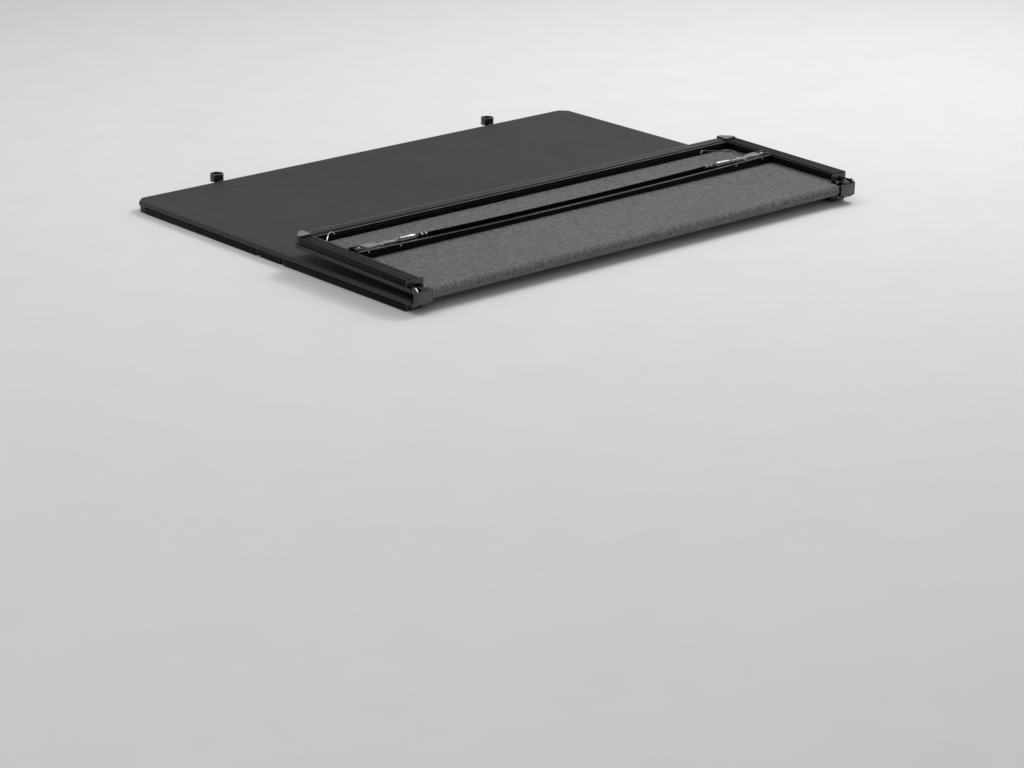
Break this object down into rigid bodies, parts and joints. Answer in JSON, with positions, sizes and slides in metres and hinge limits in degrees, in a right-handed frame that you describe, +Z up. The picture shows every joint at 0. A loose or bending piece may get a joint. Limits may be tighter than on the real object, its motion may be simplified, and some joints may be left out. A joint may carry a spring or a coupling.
{
  "type": "tonneau cover",
  "caption": "Soft folding cover for a pickup bed: framed vinyl panels on double-pivot hinges, rear panel folded forward, with swing-out screw clamps stowed in the cross bows.",
  "frame": {"origin": "under the middle of the cover as it lies with its rear panel folded forward, on the plane that the side rails rest on", "axes": "+X to the truck's right, +Y forwards to the cab, +Z up"},
  "size_m": [1.68, 1.3164, 0.0997],
  "materials": {
    "vinyl": "matte",
    "rail": "satin",
    "casting": "gloss",
    "cap": "matte",
    "seal": "satin",
    "steel": "satin",
    "clamp": "satin",
    "knob": "gloss"
  },
  "bodies": {
    "front_panel": {"tarp_front": "vinyl", "header_rail": "rail", "header_seal": "seal", "bow_front": "rail", "side_rail_front_left": "rail", "corner_front_left": "cap", "hinge_end_front_left": "casting", "bumper_left": "seal", "clamp_bracket_front_left": "casting", "side_rail_front_right": "rail", "corner_front_right": "cap", "hinge_end_front_right": "casting", "bumper_right": "seal", "clamp_bracket_front_right": "casting"},
    "front_link": {"link_front_left": "casting", "pin_front_lower_left": "steel", "pin_front_upper_left": "steel", "link_front_right": "casting", "pin_front_lower_right": "steel", "pin_front_upper_right": "steel", "tarp_fold_front": "vinyl"},
    "middle_panel": {"tarp_middle": "vinyl", "bow_middle": "rail", "side_rail_middle_left": "rail", "hinge_end_middle_front_left": "casting", "hinge_end_middle_rear_left": "casting", "side_rail_middle_right": "rail", "hinge_end_middle_front_right": "casting", "hinge_end_middle_rear_right": "casting"},
    "rear_link": {"link_rear_left": "casting", "pin_rear_lower_left": "steel", "pin_rear_upper_left": "steel", "link_rear_right": "casting", "pin_rear_lower_right": "steel", "pin_rear_upper_right": "steel", "tarp_fold_rear": "vinyl"},
    "rear_panel": {"tarp_rear": "vinyl", "tail_rail": "rail", "tail_seal": "seal", "bow_rear": "rail", "side_rail_rear_left": "rail", "corner_tail_left": "cap", "hinge_end_rear_left": "casting", "clamp_bracket_rear_left": "casting", "side_rail_rear_right": "rail", "corner_tail_right": "cap", "hinge_end_rear_right": "casting", "clamp_bracket_rear_right": "casting"},
    "arm_front_left": {"clamp_arm_front_left": "clamp"},
    "jaw_front_left": {"clamp_jaw_front_left": "clamp"},
    "knob_front_left": {"clamp_knob_front_left": "knob"},
    "arm_front_right": {"clamp_arm_front_right": "clamp"},
    "jaw_front_right": {"clamp_jaw_front_right": "clamp"},
    "knob_front_right": {"clamp_knob_front_right": "knob"},
    "arm_rear_left": {"clamp_arm_rear_left": "clamp"},
    "jaw_rear_left": {"clamp_jaw_rear_left": "clamp"},
    "knob_rear_left": {"clamp_knob_rear_left": "knob"},
    "arm_rear_right": {"clamp_arm_rear_right": "clamp"},
    "jaw_rear_right": {"clamp_jaw_rear_right": "clamp"},
    "knob_rear_right": {"clamp_knob_rear_right": "knob"}
  },
  "joints": [
    {"name": "front_fold_lower", "type": "hinge", "parent": "front_panel", "child": "front_link", "pos_m": [0, 0.01219, 0.025], "axis": [-1, 0, 0], "range_deg": [0, 88.5], "deforming": ["tarp_fold_front"]},
    {"name": "front_fold_upper", "type": "hinge", "parent": "front_link", "child": "middle_panel", "pos_m": [0, -0.07581, 0.025], "axis": [-1, 0, 0], "range_deg": [0, 88.5], "deforming": ["tarp_fold_front"]},
    {"name": "rear_fold_lower", "type": "hinge", "parent": "middle_panel", "child": "rear_link", "pos_m": [0, -0.63281, 0.025], "axis": [1, 0, 0], "range_deg": [0, 89.4], "deforming": ["tarp_fold_rear"]},
    {"name": "rear_fold_upper", "type": "hinge", "parent": "rear_link", "child": "rear_panel", "pos_m": [0, -0.63319, 0.061], "axis": [1, 0, 0], "range_deg": [0, 89.4], "deforming": ["tarp_fold_rear"]},
    {"name": "clamp_swing_front_left", "type": "hinge", "parent": "front_panel", "child": "arm_front_left", "pos_m": [-0.778, 0.31569, 0.0115], "axis": [0, 1, 0], "range_deg": [0, 90]},
    {"name": "jaw_travel_front_left", "type": "slide", "parent": "arm_front_left", "child": "jaw_front_left", "axis": [1, 0, 0], "range_m": [0, 0.0125]},
    {"name": "knob_spin_front_left", "type": "hinge", "parent": "jaw_front_left", "child": "knob_front_left", "pos_m": [-0.778, 0.31569, 0.0115], "axis": [1, 0, 0], "range_deg": [0, 1800]},
    {"name": "clamp_swing_front_right", "type": "hinge", "parent": "front_panel", "child": "arm_front_right", "pos_m": [0.778, 0.31569, 0.0115], "axis": [0, -1, 0], "range_deg": [0, 90]},
    {"name": "jaw_travel_front_right", "type": "slide", "parent": "arm_front_right", "child": "jaw_front_right", "axis": [-1, 0, 0], "range_m": [0, 0.0125]},
    {"name": "knob_spin_front_right", "type": "hinge", "parent": "jaw_front_right", "child": "knob_front_right", "pos_m": [0.778, 0.31569, 0.0115], "axis": [-1, 0, 0], "range_deg": [0, 1800]},
    {"name": "clamp_swing_rear_left", "type": "hinge", "parent": "rear_panel", "child": "arm_rear_left", "pos_m": [-0.778, -0.33771, 0.08919], "axis": [0, -0.9998, -0.0209], "range_deg": [0, 90]},
    {"name": "jaw_travel_rear_left", "type": "slide", "parent": "arm_rear_left", "child": "jaw_rear_left", "axis": [1, 0, 0], "range_m": [0, 0.0125]},
    {"name": "knob_spin_rear_left", "type": "hinge", "parent": "jaw_rear_left", "child": "knob_rear_left", "pos_m": [-0.778, -0.33771, 0.08919], "axis": [1, 0, 0], "range_deg": [0, 1800]},
    {"name": "clamp_swing_rear_right", "type": "hinge", "parent": "rear_panel", "child": "arm_rear_right", "pos_m": [0.778, -0.33771, 0.08919], "axis": [0, 0.9998, 0.0209], "range_deg": [0, 90]},
    {"name": "jaw_travel_rear_right", "type": "slide", "parent": "arm_rear_right", "child": "jaw_rear_right", "axis": [-1, 0, 0], "range_m": [0, 0.0125]},
    {"name": "knob_spin_rear_right", "type": "hinge", "parent": "jaw_rear_right", "child": "knob_rear_right", "pos_m": [0.778, -0.33771, 0.08919], "axis": [-1, 0, 0], "range_deg": [0, 1800]}
  ],
  "couplings": [
    {"joint": "front_fold_upper", "follows": "front_fold_lower", "ratio": 1},
    {"joint": "rear_fold_upper", "follows": "rear_fold_lower", "ratio": 1},
    {"joint": "knob_spin_front_left", "follows": "jaw_travel_front_left", "rad_per_m": 2513.3},
    {"joint": "knob_spin_front_right", "follows": "jaw_travel_front_right", "rad_per_m": 2513.3},
    {"joint": "knob_spin_rear_left", "follows": "jaw_travel_rear_left", "rad_per_m": 2513.3},
    {"joint": "knob_spin_rear_right", "follows": "jaw_travel_rear_right", "rad_per_m": 2513.3}
  ]
}
